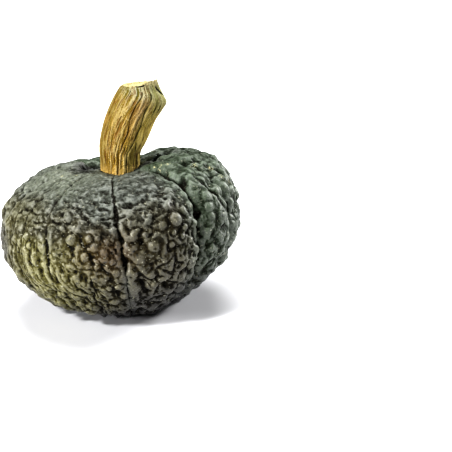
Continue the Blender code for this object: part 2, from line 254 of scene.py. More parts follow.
bm = bmesh.new()
bmesh.ops.create_cube(bm, size=2)
bmesh.ops.subdivide_edges(bm, edges=bm.edges, cuts=SKIN_CELLS - 1, use_grid_fill=True)
fruit, skin = add_built("whole_fruit", bm)
cube = corner_values(skin, "vertices", "co", 3)
directions = np.tan(cube * math.pi / 4) * (1, 1, SKIN_CROWDING)
directions /= np.linalg.norm(directions, axis=1)[:, None]
edges = np.empty(len(skin.edges) * 2, dtype=int)
skin.edges.foreach_get("vertices", edges)
edges = edges.reshape(-1, 2)
neighbours = np.bincount(edges.ravel())


def move_skin(points):
    """Move the skin's corners, and return their new outward normals."""
    skin.vertices.foreach_set("co", points.ravel())
    skin.update()
    return corner_values(skin, "vertex_normals", "vector", 3)


def averaged(rows, rounds):
    """Each corner's values averaged with its neighbours', several times over."""
    ends = np.concatenate((edges, edges[:, ::-1]))
    for _ in range(rounds):
        sums = [np.bincount(ends[:, 0], column[ends[:, 1]]) for column in rows.T]
        rows = (rows + np.stack(sums, axis=1) / neighbours[:, None]) / 2
    return rows


# The creases sway a little from side to side on their way down.
sway = noise_over(body_points(directions), SWAY_LENGTH, 2)
sway = np.degrees(CREASE_SWAY / BELLY_RADIUS) * sway
azimuth = azimuth_of(directions)
up = directions[:, 2]
body = body_points(directions, sway)
normals = move_skin(body)
from_axis = np.hypot(*(body - BODY_CENTRE)[:, :2].T)
from_crease, nearest_crease = crease_distance(azimuth + sway, up, from_axis)

# Warts that stand out by themselves: azimuth and height angle in degrees, radius and
# height in mm. The dimples in some of their tops are given in the same way.
LARGE_WARTS = (
    (-48, 11.5, 3.6, 2.2),
    (-46, 7.5, 4.0, 2.2),
    (-22.5, 11, 5.2, 3.0),
    (-14, 11, 3.6, 1.7),
    (-16.5, 3, 4.4, 1.8),
    (-12, 7, 4.6, 1.2),
    (-8, 4, 4.0, 1.2),
    (-5, -0.5, 3.4, 1.8),
    (-4, -6, 4.2, 1.8),
    (-4, -14, 3.8, 2.0),
    (-8.5, -14, 3.2, 1.4),
    (-8, -25, 5.0, 2.0),
    (-2.5, -22, 4.0, 1.6),
    (14, 3, 6.4, 2.4),
    (26, 12.5, 6.4, 3.0),
    (19, 11, 4.6, 1.4),
    (36, 17, 5.0, 2.8),
    (37, 22.5, 5.0, 2.2),
    (36, 28, 4.8, 1.8),
    (36, 8, 4.2, 2.4),
    (30, 8, 3.6, 2.0),
    (22, 2, 3.4, 2.0),
    (13, -16.5, 3.8, 2.4),
    (7, -1, 7.2, 1.4),
    (5.5, 15.5, 5.8, 0.6),
    (48, 17, 6.6, 2.0),
    (47, 12, 6.0, 1.8),
    (46, 25, 5.2, 1.4),
    (53, 25, 5.4, 1.4),
    (58, 17, 5.4, 1.6),
)
SMALL_WARTS = (
    (-11.5, 0.5, 1.9, 1.6),
    (-14.5, 6.5, 1.8, 1.2),
    (-3.5, 4, 1.6, 1.0),
    (28, 4, 2.8, 1.6),
    (-57, 15, 3.4, 1.6),
    (24, 7, 2.6, 1.4),
    (11, 9, 3.0, 1.2),
    (-27, 16, 2.6, 1.2),
)
DIMPLES = (
    (-22, 10.6, 1.8, 0.6),
    (-16.5, 3.6, 1.8, 0.6),
    (14, 2.6, 2.4, 0.8),
    (22, 1.6, 1.4, 0.9),
    (-5, -0.2, 1.4, 0.6),
)
WART_BOLDNESS = 1.25

# Ridges and grooves of the skin: width and height or depth in mm, and then the path. Most
# ridges hang down the left of the belly, and the last one edges the right crease. Among
# the grooves are two pockets by the stem and a star-shaped crack on the right lobe. Each
# is a row of domes, set so many degrees apart.
RIDGES = (
    (3.4, 2.0, (-50, 6), (-49, -2), (-45, -10), (-39, -17)),
    (3.0, 1.6, (-39, -3), (-37, -10), (-33, -17)),
    (3.6, 2.2, (-32, 0), (-30, -9), (-26, -15), (-19, -19)),
    (3.2, 1.6, (-33, 17), (-33, 8), (-33, 0)),
    (3.0, 1.4, (-24, -3), (-22, -10), (-17, -17)),
    (2.6, 1.6, (-64, 14), (-65, 4), (-62, -6)),
    (2.8, 1.4, (-56, 8), (-56, -2), (-53, -10)),
    (3.0, 1.4, (-44, 0), (-42, -8), (-38, -14)),
    (2.4, 1.4, (-9, -2), (-7, -4.5), (-4, -5)),
    (4.0, 1.2, (3, -12), (3, -20), (4, -30)),
    (3.0, 1.6, (38, 34), (38.5, 28), (38.5, 20), (38, 12)),
)
GROOVES = (
    (2.0, 1.2, (-36, 16), (-36, 5), (-35.5, -4), (-33, -12)),
    (7.0, 6.5, (46, 68), (76, 60), (99, 51), (108, 44)),
    (9.0, 8.0, (-150, 67), (-112, 69), (-72, 67)),
    (2.2, 1.8, (-14.5, 5), (-13.8, 1), (-13.5, -4)),
    (2.4, 1.6, (-18, 14), (-18, 8)),
    (2.2, 1.6, (-42.5, 9), (-42.5, 5)),
    (2.6, 2.0, (6, -13), (7.5, -18), (9.5, -25)),
    (2.4, 1.8, (-9, 27.5), (-4, 27.5)),
    (2.2, 1.6, (-10, 24), (-4, 23.5)),
    (2.0, 1.2, (-7, 33), (-4, 33)),
    (1.8, 1.0, (-41, 43), (-38, 43)),
    (1.8, 1.0, (-34, 37), (-31, 37)),
    (1.8, 1.0, (-28, 37), (-25, 36.5)),
    (3.4, 3.2, (-76, 24), (-74, 28), (-72, 31)),
    (3.0, 2.6, (50, 28), (54, 17), (56, 12), (60, 5)),
    (2.8, 2.4, (73, 26), (76, 18)),
    (3.4, 3.2, (75.5, 37), (75.5, 32)),
    (2.4, 2.2, (71, 36), (75.5, 34), (80, 36)),
    (2.2, 1.8, (72, 31), (75.5, 34)),
    (2.4, 1.8, (24, 2), (23, -8), (21, -20)),
    (2.0, 1.4, (20, 26), (24, 24), (26, 20)),
    (2.0, 1.4, (10, 19), (16, 18)),
    (1.8, 1.0, (2.5, 17.4), (8, 17)),
    (1.8, 1.2, (3, 13.4), (9, 13)),
)
PATH_STEP = 1.0

# Lesser warts are scattered over the whole fruit, from the same draw as the solid's, but
# lower. Each has a radius, and a height that is a share of it. They keep clear of the
# large ones and of the stem, and are smaller and lower on top.
WART_COUNT = 620
WART_SEED = 5
WART_RADIUS = (4.8 * MM, 7.6 * MM)
WART_STEEPNESS = (0.40, 0.56)
WART_STRAY = (1.0, 0.04)
WART_FREE_RADIUS = 26 * MM
WART_ROOM = 3 * MM
WART_SHARE = 0.5
SMOOTHER_TOP = 0.45
SMOOTHER_FROM = (0.15, 0.6)

# How far noise shifts the skin's lumps, over which lengths, and how much of that shift
# the outlines of scattered warts and of placed ones take.
WARPS = ((3.0 * MM, 10 * MM), (1.0 * MM, 4 * MM))
SCATTER_RAGGEDNESS = 0.6
PLACED_RAGGEDNESS = 0.35


def golden_spiral(count, rng, stray):
    """Unit vectors spread evenly over a sphere, strayed a little."""
    steps = np.arange(count) + 0.5 + stray[0] * rng.uniform(-1, 1, count)
    turns = np.arange(count) * math.pi * (3 - math.sqrt(5)) + stray[1] * rng.uniform(-1, 1, count)
    height_angle = np.degrees(np.arcsin(np.clip(1 - 2 * steps / count, -1, 1)))
    return unit_vectors(np.degrees(turns), height_angle)


def search_tree(points):
    """The points, with a tree that finds those near a place."""
    tree = kdtree.KDTree(len(points))
    for index, point in enumerate(points):
        tree.insert(point, index)
    tree.balance()
    return points, tree


def raise_domes(ground, directions, radii, heights):
    """Raise rounded domes at places on the skin. Where they overlap, the highest leads."""
    ground_points, tree = ground
    raised = np.zeros(len(ground_points))
    for centre, radius, height in zip(body_points(directions), radii, heights):
        found = [index for _, index, _ in tree.find_range(centre, radius)]
        share = ((ground_points[found] - centre) ** 2).sum(axis=1) / radius ** 2
        raised[found] = np.maximum(raised[found], height * np.clip(1 - share, 0, 1))
    return raised


def raise_warts(ground, warts):
    """Raise a dome for each wart of a table."""
    azimuths, height_angles, radii, heights = np.array(warts).T
    return raise_domes(ground, unit_vectors(azimuths, height_angles), radii * MM, heights * MM)


def patches_round(ground, places, widening=1.0):
    """1 in the middle of each place and 0 outside its radius, which may be widened."""
    azimuths, height_angles, radii = np.array(places)[:, :3].T
    centres = unit_vectors(azimuths, height_angles)
    return raise_domes(ground, centres, radii * MM * widening, np.ones(len(radii)))


def raise_paths(ground, paths):
    """Raise a ridge along each path, by a row of domes that are lower at its ends."""
    raised = 0
    for width, height, *path in paths:
        path = np.array(path)
        stops = np.append(0, np.cumsum(np.hypot(*np.diff(path, axis=0).T)))
        along = np.linspace(0, 1, int(stops[-1] / PATH_STEP) + 2)
        azimuths, height_angles = [np.interp(along * stops[-1], stops, line) for line in path.T]
        taper = 1 - np.abs(2 * along - 1) ** 3
        radii = width * MM * (0.5 + 0.5 * taper)
        directions = unit_vectors(azimuths, height_angles)
        raised = np.maximum(raised, raise_domes(ground, directions, radii, height * MM * taper))
    return raised


warped = body
for seed, (warp_size, warp_length) in enumerate(WARPS):
    shifts = [noise_over(body + seed + offset, warp_length) for offset in (0.0, 0.7, 1.9)]
    warped = warped + warp_size * np.stack(shifts, axis=1)
scatter_ground = search_tree(body + SCATTER_RAGGEDNESS * (warped - body))
placed_ground = search_tree(body + PLACED_RAGGEDNESS * (warped - body))

large_centres = body_points(unit_vectors(*np.array(LARGE_WARTS)[:, :2].T))
rng = np.random.default_rng(WART_SEED)
wart_directions = golden_spiral(WART_COUNT, rng, WART_STRAY)
wart_radii = rng.uniform(*WART_RADIUS, WART_COUNT)
wart_steepness = rng.uniform(*WART_STEEPNESS, WART_COUNT)
wart_centres = body_points(wart_directions)
to_large = np.linalg.norm(wart_centres[:, None] - large_centres, axis=2).min(axis=1)
kept = np.hypot(*(wart_centres - BODY_CENTRE)[:, :2].T) > WART_FREE_RADIUS
kept &= to_large > wart_radii + WART_ROOM
calm = 1 - SMOOTHER_TOP * smooth_step(*SMOOTHER_FROM, wart_directions[:, 2])
scatter = raise_domes(
    scatter_ground,
    wart_directions[kept],
    (wart_radii * calm ** 0.5)[kept],
    (wart_radii * wart_steepness * calm)[kept] * WART_SHARE,
)
placed_warts = LARGE_WARTS + SMALL_WARTS
standing = np.maximum(
    WART_BOLDNESS * raise_warts(placed_ground, placed_warts),
    raise_paths(placed_ground, RIDGES),
)
grooves = np.maximum(raise_paths(placed_ground, GROOVES), raise_warts(placed_ground, DIMPLES))

# Between the warts the skin is puckered into lumps: low on the top, which has small pits
# too, and broad on the right and at the back. They stretch into level wrinkles high on the
# belly, and at the lower left into folds that hang like drapery. Each kind of lump has its
# size, its octaves of noise and its height.
BELLY_LUMPS = (12.0 * MM, 3, 4.2 * MM)
BROAD_LUMPS = (18.0 * MM, 2, 4.8 * MM)
TOP_LUMPS = (8.0 * MM, 3, 1.0 * MM)
WRINKLES = (4.4 * MM, 3, 2.3 * MM)
FOLDS = (8.5 * MM, 3, 5.4 * MM)
PIT_SIZE = 6 * MM
PIT_DEPTH = 1.2 * MM
PIT_EDGE = (0.25, 0.55)
WRINKLE_STRETCH = (0.3, 1, 1)
FOLD_STRETCH = (1, 0.13, 1)
LUMP_FLATNESS = 3.0
LUMP_LEVEL = 0.1
LUMP_PARTINGS = ((0.8, 0.2), (0.45, 0.08))
PARTING_WIDTH = 0.2
PARTING_OFFSET = 3.3
PEBBLE_SIZE = 12 * MM
PEBBLE_HEIGHT = 1.4 * MM
PEBBLE_WIDTHS = (0.34, 0.7)
PEBBLE_ROUNDNESS = 1.4

# Where each kind of skin lies. A zone has the azimuth of its middle and its width in
# degrees, and the heights between which it fades in. A window has the azimuths between
# which it fades in on its left and out on its right, and its heights. A band has the
# middle and the width of both. Most of their edges wander.
WANDER_SIZE = 30 * MM
TOP_SKIN = (0.4, 0.75)
BROAD_SKIN_MIDDLE = -35
BROAD_SKIN_BEYOND = (66, 90)
LEVEL_WINDOW = ((-80, -52), (30, 5), (0.14, 0.32))
DRAPED_ZONE = (-68, 36, 0.42, 0.05)
HALF_DRAPED_ZONE = (-22, 24, 0.05, -0.2)
HALF_DRAPED_SHARE = 0.65
UNDERBELLY_ZONE = (5, 50, -0.02, -0.3)
UNDERBELLY_BOLDNESS = 0.3


def lumpy(points, kind):
    """Rounded lumps of a kind, parted by hollows and by narrow lines, up to its height."""
    size, octaves, height = kind
    rough = noise_over(points, size, octaves, lacunarity=2.1) + LUMP_LEVEL
    lumps = 1 - np.log1p(np.exp(-LUMP_FLATNESS * rough)) / (0.5 * LUMP_FLATNESS)
    for part, depth in LUMP_PARTINGS:
        scaled = points / (part * size) + PARTING_OFFSET
        line = np.array([noise.noise(Vector(point)) for point in scaled])
        lumps -= depth * bell(line, PARTING_WIDTH)
    return height * lumps


def pebbles(points, size):
    """Round bumps about a size apart, each of its own width and height, from 0 to 1."""
    narrow, wide = PEBBLE_WIDTHS
    bumps = []
    for point in points / size:
        distances, centres = noise.voronoi(Vector(point))
        own = 0.5 + 0.5 * noise.cell(centres[0] * 7.3)
        share = (distances[0] / (narrow + (wide - narrow) * own)) ** 2
        bumps.append(own * max(0, 1 - share) ** PEBBLE_ROUNDNESS)
    return np.array(bumps)


def zone(place, up):
    """1 round an azimuth and past a height."""
    middle, width, low, high = place
    return bell(azimuth - middle, width) * smooth_step(low, high, up)


def window(place, up):
    """1 between two azimuths and past a height."""
    left, right, heights = place
    return smooth_step(*left, azimuth) * smooth_step(*right, azimuth) * smooth_step(*heights, up)


def band(place):
    """1 round an azimuth and round a height."""
    middle, width, height, tall = place
    return bell(azimuth - middle, width) * bell(up - height, tall)


wander = noise_over(body, WANDER_SIZE, 2)
wavy_up = up + 0.1 * wander
wavier_up = up + 0.14 * wander
topped = smooth_step(*TOP_SKIN, wavier_up)
turned_away = np.abs(degrees_from(azimuth, BROAD_SKIN_MIDDLE))
broad = smooth_step(*BROAD_SKIN_BEYOND, turned_away + 10 * wander)
levelled = window(LEVEL_WINDOW, wavier_up)
half_draped = HALF_DRAPED_SHARE * zone(HALF_DRAPED_ZONE, wavy_up)
draped = np.maximum(zone(DRAPED_ZONE, wavy_up), half_draped)
underbelly = zone(UNDERBELLY_ZONE, up)

unrolled = np.stack((np.radians(azimuth) * BELLY_RADIUS, body[:, 2], 0 * up), axis=1)
unrolled += 0.9 * (warped - body)
relief = lumpy(warped, BELLY_LUMPS)
relief += levelled * (lumpy(unrolled * WRINKLE_STRETCH, WRINKLES) - relief)
relief += draped * (lumpy(unrolled * FOLD_STRETCH, FOLDS) - relief)
relief += broad * (lumpy(warped, BROAD_LUMPS) - relief)
pits = smooth_step(*PIT_EDGE, noise_over(warped + 0.4, PIT_SIZE))
relief += topped * (lumpy(warped, TOP_LUMPS) - PIT_DEPTH * pits - relief)
pebbled = (1 - 0.7 * topped) * (1 - 0.8 * draped)
relief += PEBBLE_HEIGHT * pebbled * pebbles(warped + PEBBLE_SIZE, PEBBLE_SIZE)

# The placed warts and ridges rise from an even height of the skin, with a moat of it
# round them, and the scattered warts fill what they leave free.
WART_GROUND = 2.2 * MM
MOAT_WIDTH = 1.6
MOAT_EDGE = 0.6
WART_SKIRT = 1.2 * MM
SCATTER_GAP = 1.0 * MM
moat = smooth_step(0, MOAT_EDGE, patches_round(placed_ground, placed_warts, MOAT_WIDTH))
relief += (WART_GROUND - relief) * 0.5 * moat
relief += (WART_GROUND - relief) * 0.9 * smooth_step(0, WART_SKIRT, standing)
relief += standing - grooves
relief += scatter * (1 - 0.5 * topped) * (1 - smooth_step(0, SCATTER_GAP, standing))
relief *= 1 + UNDERBELLY_BOLDNESS * underbelly

# The relief runs out at the creases: over a wide bank at the right one, and hardly at the
# faint ones. Low at the front, the crease opens into a trough of smooth skin. A low collar
# stands in front of the stem, so many degrees wide. The whole skin is drawn in, so that its
# warts reach out to the true size.
CREASE_BANK = 2 * MM
RIGHT_BANK_WIDENING = 1.2
LOW_BANK_WIDENING = 0.8
BANK_NARROWS = (0.1, 0.45)
BANK_EDGE = (-0.4, 1)
BANK_RAGGEDNESS = 0.6
RAGGED_LENGTH = 5 * MM
FAINTNESS = 0.65
LOW_FRONT = (-0.02, -0.2)
TROUGH_WIDTH = 3.2 * MM
TROUGH_RISE = 2.6 * MM
COLLAR_RADIUS = 19 * MM
COLLAR_THICKNESS = 8 * MM
COLLAR_WIDTH = 70
COLLAR_HEIGHT = 1.8 * MM
FULLNESS = -2.2 * MM
low_front = smooth_step(*LOW_FRONT, up) * (nearest_crease == FRONT_CREASE)
at_right = nearest_crease == RIGHT_CREASE
bank_width = CREASE_BANK * (1 + RIGHT_BANK_WIDENING * at_right + LOW_BANK_WIDENING * low_front)
bank_width *= 1 - 0.5 * smooth_step(*BANK_NARROWS, up)
ragged = BANK_RAGGEDNESS * noise_over(body, RAGGED_LENGTH, 2)
bank = smooth_step(*BANK_EDGE, from_crease / bank_width + ragged)
bank = 1 - (1 - bank) * (1 - FAINTNESS * np.isin(nearest_crease, FAINT_CREASES))
trough = low_front * bell(from_crease, TROUGH_WIDTH)
collar = COLLAR_HEIGHT * bell(from_axis - COLLAR_RADIUS, COLLAR_THICKNESS)
collar *= bell(azimuth, COLLAR_WIDTH)
out = relief * bank + FULLNESS * (1 - 0.75 * topped) + TROUGH_RISE * trough + collar * (up > 0)
skin_points = np.clip(body + normals * out[:, None], *np.array(cad_box))
normals = move_skin(skin_points)
skin.shade_smooth()

# The tone is 0 in a crevice, about a half on level skin and 1 on the top of a wart. It
# adds up how far each corner stands out of its neighbourhood, averaged over so many rounds
# and measured against a height. It has more contrast low down and on the right. The
# finish darkens crevices by it as painted shade, and makes wart tops paler, partly as
# painted highlight.
TONE_REACHES = ((3, 0.9 * MM), (10, 2.0 * MM), (36, 4.5 * MM))
RIGHT_WINDOW = ((-45, -15), (130, 90), (0.62, 0.4))

# Rind beside the stem that is painted dark as painted shade, and corky cracks, whose flecks
# are cream: azimuth and height angle in degrees, and radius in mm. Painted shade also lies
# underneath, in deep grooves, low on the front, round the stem's foot and far left.
SHADY_PLACES = ((-100, 67, 16), (-66, 62, 17), (70, 60, 15))
CORKY_PLACES = (
    (70, 33.5, 4),
    (67, 35, 3),
    (73, 26, 4),
    (71, 20, 4),
    (75, 16, 4),
    (44, 45, 3),
    (46, 50, 3),
    (49, 46, 3),
    (51, 43, 3),
    (44, 38, 2.5),
    (-48, 52, 3),
    (-60, 47, 3),
)
UNDERNEATH = (-0.42, -0.75)
DEEP_GROOVE = (2.5 * MM, 5.5 * MM)
LOW_FRONT_WINDOW = ((-12, 4), (80, 50), (-0.25, -0.5))
STEM_FOOT = (20.8 * MM, 18.6 * MM)
LEFT_EDGE_ZONE = (-78, 18, 0.3, 0.1)

# Bloom and haze lie on the top, moss low on the left, and brown beside the front crease.
# The right and the back are greener.
BLOOM_HEIGHTS = (0.0, 0.58)
BLOOM_PATCHINESS = 0.1
BLOOM_PATCH_SIZE = 8 * MM
WARM_BAND = (-62, 28, 0.32, 0.22)
BROWN_BAND = (-9, 18, 0.06, 0.16)
BROWN_END = (12, -2)
MOSS_ZONE = (-42, 24, 0.3, 0.1)
HAZE_ZONE = (-60, 45, 0.35, 0.75)
GREEN_FROM = (20, 50)
GREEN_ROUND_TO = -120


def store(mesh, **numbers):
    """Store numbers for each corner of a mesh, for its finish to read by name."""
    for name, values in numbers.items():
        mesh.attributes.new(name, "FLOAT", "POINT").data.foreach_set("value", values)


tone = 0.5
for rounds, reach in TONE_REACHES:
    hollow = ((averaged(skin_points, rounds) - skin_points) * normals).sum(axis=1)
    tone = tone - hollow / reach
# The stronger contrast deepens the painted shade low down and on the right.
tone = 0.5 + (tone - 0.5) * (1 + 0.5 * underbelly + 0.3 * window(RIGHT_WINDOW, up))
# Painted shade: where the rind is painted dark as if it lay in shade.
soils = (
    smooth_step(*UNDERNEATH, up),
    0.8 * smooth_step(*DEEP_GROOVE, grooves),
    0.7 * window(LOW_FRONT_WINDOW, up),
    smooth_step(*STEM_FOOT, from_axis) * (up > 0),
    0.9 * patches_round(placed_ground, SHADY_PLACES),
    0.5 * zone(LEFT_EDGE_ZONE, up),
)
bloom_up = up + 0.16 * wander + BLOOM_PATCHINESS * noise_over(body, BLOOM_PATCH_SIZE, 2)
warm = band(WARM_BAND)
turned_right = np.where(azimuth < GREEN_ROUND_TO, azimuth + 360, azimuth)
store(
    skin,
    tone=tone,
    trough=trough,
    # Where the rind is painted dark as painted shade.
    soil=np.maximum.reduce(soils),
    corky=patches_round(placed_ground, CORKY_PLACES),
    bloom=smooth_step(*BLOOM_HEIGHTS, bloom_up) * (1 - 0.5 * warm),
    haze=zone(HAZE_ZONE, wavy_up),
    brown=band(BROWN_BAND) * smooth_step(*BROWN_END, azimuth),
    moss=np.maximum(zone(MOSS_ZONE, wavy_up), 0.45 * warm),
    green=smooth_step(*GREEN_FROM, turned_right + 8 * wander),
)


class Value:
    """A node's output, for sums with other outputs and plain numbers."""

    def __init__(self, finish, socket):
        self.finish = finish
        self.socket = socket

    def maths(self, operation, *values):
        settings = {"operation": operation}
        return self.finish.node("ShaderNodeMath", settings, dict(enumerate(values)))

    def __add__(self, other):
        return self.maths("ADD", self, other)

    def __sub__(self, other):
        return self.maths("SUBTRACT", self, other)

    def __rsub__(self, other):
        return self.maths("SUBTRACT", other, self)

    def __mul__(self, other):
        return self.maths("MULTIPLY", self, other)

    __radd__ = __add__
    __rmul__ = __mul__

    def between(self, low, high):
        """0 at low, 1 at high, and smoothly between them. High may be the smaller one."""
        settings = {"interpolation_type": "SMOOTHSTEP"}
        inputs = {"Value": self, "From Min": low, "From Max": high}
        return self.finish.node("ShaderNodeMapRange", settings, inputs)


class Finish:
    """A material, or a world's light, made of nodes that lead to one shader."""

    def __init__(self, owner, shader="Principled BSDF"):
        owner.use_nodes = True
        self.nodes = owner.node_tree.nodes
        self.links = owner.node_tree.links
        self.shader = self.nodes[shader]

    def feed(self, socket, value):
        if isinstance(value, Value):
            self.links.new(value.socket, socket)
        else:
            socket.default_value = value

    def node(self, kind, settings, inputs, output=0):
        """Add a node: its settings first, then the values or links of its sockets."""
        made = self.nodes.new(kind)
        for name, value in settings.items():
            setattr(made, name, value)
        for name, value in inputs.items():
            self.feed(self.input_of(made, name), value)
        shown = [socket for socket in made.outputs if socket.enabled]
        return Value(self, shown[output])

    def input_of(self, node, name):
        """A node's socket, by its number or by its name among those in use."""
        if isinstance(name, int):
            return node.inputs[name]
        return next(socket for socket in node.inputs if socket.name == name and socket.enabled)

    def stored(self, name):
        """A number that the mesh stores for each corner."""
        return self.node("ShaderNodeAttribute", {"attribute_name": name}, {}, output=2)

    def speckle(self, size, detail=3, stretch=(1, 1, 1)):
        """Noise through the piece's own space, with patches of about a size."""
        where = self.node("ShaderNodeTexCoord", {}, {}, output=3)
        settings = {"operation": "MULTIPLY"}
        scaled = self.node("ShaderNodeVectorMath", settings, {0: where, 1: stretch})
        inputs = {"Vector": scaled, "Scale": 1 / size, "Detail": detail, "Roughness": 0.5}
        return self.node("ShaderNodeTexNoise", {"normalize": True}, inputs)

    def blend(self, share, first, second):
        """One colour turning into another as share goes from 0 to 1."""
        settings = {"data_type": "RGBA", "blend_type": "MIX"}
        return self.node("ShaderNodeMix", settings, {"Factor": share, "A": first, "B": second})

    def layered(self, colour, *layers):
        """A colour with others laid over it, each by its share."""
        for share, paint in layers:
            colour = self.blend(share, colour, paint)
        return colour

    def relief(self, height, distance):
        """Bump from a height that goes from 0 to 1, over a distance in metres."""
        inputs = {"Height": height, "Distance": distance, "Strength": 1.0}
        return self.node("ShaderNodeBump", {}, inputs)

    def set(self, **inputs):
        """Set the shader's own sockets, by their names with underlines for spaces."""
        for name, value in inputs.items():
            self.feed(self.shader.inputs[name.replace("_", " ")], value)


def shade(red, green, blue):
    """A colour from the 0 to 255 of a paint chart to the light that it reflects."""
    shares = [value / 255 for value in (red, green, blue)]
    linear = [((s + 0.055) / 1.055) ** 2.4 if s > 0.04 else s / 12.92 for s in shares]
    return (*linear, 1.0)


# The rind is a hard, waxy skin: dark green, browner on the belly, and greyer with bloom on
# top. Each kind of skin has a colour for its crevices, darker as painted shade, and a paler
# one for its warts, partly worn and partly painted highlight. Over those lie painted shade,
# crevice shade with some dirt, painted glints, flecks of cork and pores.
LEFT_SKIN = (shade(36, 30, 12), shade(80, 76, 55))
RIGHT_SKIN = (shade(26, 36, 18), shade(72, 82, 63))
BROWN_SKIN = (shade(44, 27, 8), shade(67, 48, 20))
MOSSY_SKIN = (shade(74, 70, 32), shade(126, 123, 86))
LEFT_BLOOM = (shade(47, 49, 43), shade(89, 93, 86))
RIGHT_BLOOM = (shade(38, 46, 33), shade(78, 89, 72))
HAZY_SKIN = (shade(86, 90, 78), shade(116, 120, 108))
TROUGH_GREY = shade(84, 88, 82)
# The colour of painted shade underneath, in grooves, low on the front and by the stem.
PAINTED_SHADE = shade(10, 9, 5)
# Painted shade, with some dirt, that darkens the deepest crevices.
CREVICE_SHADE_AND_DIRT = shade(14, 10, 2)
# Painted highlight: the colour of pale glint specks.
PAINTED_GLINT = shade(156, 154, 136)
CORK_FLECK = shade(180, 174, 136)
PORE = shade(10, 9, 4)
GRAIN_SIZE = 2.6 * MM
MOTTLE_SIZE = 7 * MM
GRAIN_CONTRAST = 1.2
MOTTLE_CONTRAST = 1.6
GLINT_SIZE = 2.2 * MM
FLECK_SIZE = 1.3 * MM
RIND_BUMP = 2.8 * MM
SKIN_TONES = (0.0, 1.6)
CREVICE_SHADE_TONES = (0.4, -0.7)
WAXED_TONES = (0.4, 1.3)
PAINTED_GLINT_EDGE = (0.65, 0.76)
FLECK_EDGE = (0.6, 0.68)
PORE_EDGE = (0.4, 0.26)


def rind_finish(material):
    rind = Finish(material)
    grain = rind.speckle(GRAIN_SIZE, 2)
    mottle = rind.speckle(MOTTLE_SIZE, 4)
    tone = rind.stored("tone") + (grain - 0.5) * GRAIN_CONTRAST
    tone = tone + (mottle - 0.5) * MOTTLE_CONTRAST
    bloom = rind.stored("bloom")
    green = rind.stored("green")
    corky = rind.stored("corky")
    ends = []
    for end in (0, 1):
        layers = (
            (rind.stored("brown"), BROWN_SKIN[end]),
            (rind.stored("moss"), MOSSY_SKIN[end]),
            (bloom, rind.blend(green, LEFT_BLOOM[end], RIGHT_BLOOM[end])),
            (rind.stored("haze"), HAZY_SKIN[end]),
        )
        plain = rind.blend(green, LEFT_SKIN[end], RIGHT_SKIN[end])
        ends.append(rind.layered(plain, *layers))
    fine = rind.speckle(GLINT_SIZE, 1)
    # Painted glints: pale specks of painted highlight on the skin.
    painted_glints = fine.between(*PAINTED_GLINT_EDGE) * (1 - 0.5 * bloom)
    flecks = (rind.speckle(FLECK_SIZE, 1) + corky * 0.1).between(*FLECK_EDGE) * corky
    # Layers over the skin: painted shade, crevice shade with some dirt, painted glints, cork
    # flecks and pores.
    colour = rind.layered(
        rind.blend(tone.between(*SKIN_TONES), *ends),
        (rind.stored("trough") * 0.7, TROUGH_GREY),
        (rind.stored("soil"), PAINTED_SHADE),
        (tone.between(*CREVICE_SHADE_TONES), CREVICE_SHADE_AND_DIRT),
        (painted_glints * 0.75, PAINTED_GLINT),
        (flecks * 0.8, CORK_FLECK),
        (fine.between(*PORE_EDGE) * (0.85 - 0.4 * bloom), PORE),
    )
    rind.set(Base_Color=colour, Roughness=grain * 0.3 + 0.28, Specular_IOR_Level=0.08)
    rind.set(Coat_Weight=tone.between(*WAXED_TONES) * (1 - 0.4 * bloom))
    rind.set(Coat_Roughness=0.57, Coat_IOR=1.65, Normal=rind.relief(grain, RIND_BUMP))
    return material


skin.materials.append(rind_finish(bpy.data.materials.new("warted_rind")))
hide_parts("fruit")
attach(fruit, "root")

# The stem: a thick corky stalk, dried to straw and tan, with hard ribs and dark grooves.
# It grows straight up out of the fruit, bends to the right, and ends in an oblique cut
# with a sunk face and a torn tip.
# Each level: its left edge and its right edge, in mm to the right of the belly's middle
# and above it, and half its depth in mm.
STEM_LEVELS = (
    ((-16.4, 44.0), (17.0, 45.5), 16.6),
    ((-16.7, 50.0), (17.4, 51.5), 16.8),
    ((-17.8, 66.0), (19.6, 66.0), 18.0),
    ((-17.3, 77.0), (23.6, 73.6), 19.4),
    ((-14.8, 89.0), (27.6, 82.0), 20.6),
    ((-10.7, 101.0), (31.6, 91.0), 21.2),
    ((-6.0, 112.0), (35.8, 98.6), 21.4),
    ((-2.4, 119.0), (40.4, 105.2), 21.2),
    ((1.0, 124.0), (43.0, 111.0), 20.4),
    ((2.8, 126.0), (42.4, 116.6), 18.6),
    ((4.4, 127.0), (39.4, 122.0), 16.2),
    ((6.0, 127.8), (35.8, 129.4), 14.4),
)
STALK_COLUMNS = 336
STEPS_PER_LEVEL = 15
STALK_RADIUS = 20 * MM

